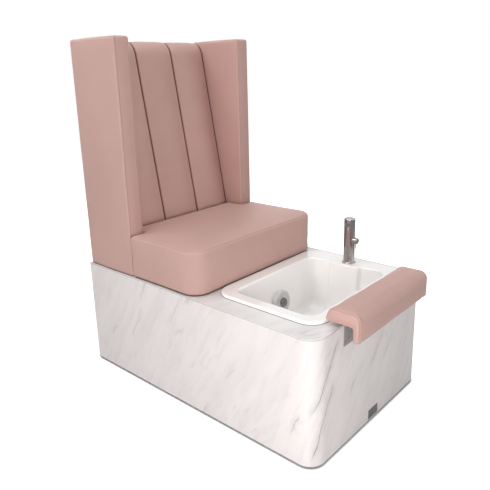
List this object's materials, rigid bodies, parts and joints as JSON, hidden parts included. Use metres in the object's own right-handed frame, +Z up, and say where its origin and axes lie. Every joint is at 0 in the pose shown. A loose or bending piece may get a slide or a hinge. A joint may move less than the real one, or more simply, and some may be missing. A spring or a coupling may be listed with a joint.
{
  "type": "pedicure chair",
  "caption": "Winged padded seat on a marble-look plinth with a drop-in foot basin, water jet, pull-out tap and padded footrest.",
  "frame": {"origin": "middle of the chair's box, on the floor", "axes": "+Z up, -Y to the front where the footrest is, +X to the sitter's left"},
  "size_m": [0.76, 1.279, 1.412],
  "materials": {
    "marble_laminate": "satin, printed with soft grey marble veins",
    "pine": "planed, bare",
    "plywood": "sanded, bare",
    "pink_leatherette": "soft grained leatherette, dusty pink, low sheen",
    "white_glaze": "glossy white",
    "white_plastic": "moulded, satin",
    "chrome": "polished",
    "clear_plastic": "clear moulded plastic",
    "steel": "zinc plated",
    "braided_steel": "braided sleeve",
    "grey_paint": "satin grey",
    "grey_plastic": "moulded, fine grain",
    "black_plastic": "moulded, satin",
    "black_rubber": "matt",
    "white_rubber": "matt",
    "brass": "turned"
  },
  "bodies": {
    "chair": {"plinth_wrap": "marble_laminate", "deck": "marble_laminate", "rear_panel": "marble_laminate", "base_rails": "pine", "base_cross_rails": "pine", "posts": "pine", "top_rails": "pine", "deck_bearers": "pine", "seat_board": "plywood", "back_frame": "plywood", "slant_board": "plywood", "wing_core_left": "plywood", "wing_core_right": "plywood", "seat_cushion": "pink_leatherette", "back_pad_left": "pink_leatherette", "back_pad_centre": "pink_leatherette", "back_pad_right": "pink_leatherette", "rear_cover": "pink_leatherette", "wing_cover_left": "pink_leatherette", "wing_cover_right": "pink_leatherette", "basin": "white_glaze", "waste_nut": "white_plastic", "bottle_trap": "white_plastic", "waste_pipe": "white_plastic", "jet_housing": "white_plastic", "jet_nut": "white_plastic", "tap_cartridge": "white_plastic", "waste_flange": "chrome", "tap_base": "chrome", "tap_body": "chrome", "tap_shank": "chrome", "stop_valves": "chrome", "rear_panel_screws": "steel", "wing_bolts": "steel", "bracket_screws": "steel", "hose_loop": "braided_steel", "supply_hoses": "braided_steel", "footrest_brackets": "grey_paint", "front_plate": "grey_paint", "jet_power_box": "grey_plastic", "glides": "black_plastic", "jet_motor": "black_plastic", "cable_gland": "black_plastic", "motor_cable": "black_rubber", "basin_seal": "white_rubber", "tap_nut": "brass"},
    "footrest": {"footrest_pad": "pink_leatherette", "footrest_board": "plywood", "footrest_bumpers": "black_rubber"},
    "barrel": {"tap_barrel": "chrome"},
    "lever": {"tap_lever": "chrome"},
    "handset": {"handset": "chrome", "spray_face": "grey_plastic", "handset_hose": "braided_steel"},
    "plug": {"waste_plug": "chrome"},
    "impeller": {"jet_impeller": "white_plastic"},
    "cover": {"jet_cover": "clear_plastic", "jet_cap": "chrome"}
  },
  "joints": [
    {"name": "footrest_lift", "type": "slide", "parent": "chair", "child": "footrest", "axis": [0, 0, 1], "range_m": [0, 0.15]},
    {"name": "temperature_turn", "type": "hinge", "parent": "chair", "child": "barrel", "pos_m": [0.284, -0.31, 0.581], "axis": [0, -1, 0], "range_deg": [-45, 45]},
    {"name": "flow_swing", "type": "hinge", "parent": "barrel", "child": "lever", "pos_m": [0.284, -0.31188, 0.581], "axis": [-1, 0, 0], "range_deg": [0, 14]},
    {"name": "handset_pull", "type": "slide", "parent": "chair", "child": "handset", "axis": [0, 0, 1], "range_m": [0, 0.3], "deforming": ["handset_hose"]},
    {"name": "plug_pop", "type": "slide", "parent": "chair", "child": "plug", "axis": [0, 0, 1], "range_m": [0, 0.008]},
    {"name": "impeller_spin", "type": "hinge", "parent": "chair", "child": "impeller", "pos_m": [0.009, -0.12496, 0.354], "axis": [0, 0.9955, -0.0943], "continuous": true},
    {"name": "cover_pull", "type": "slide", "parent": "chair", "child": "cover", "axis": [0, -0.9955, 0.0943], "range_m": [0, 0.05]}
  ]
}
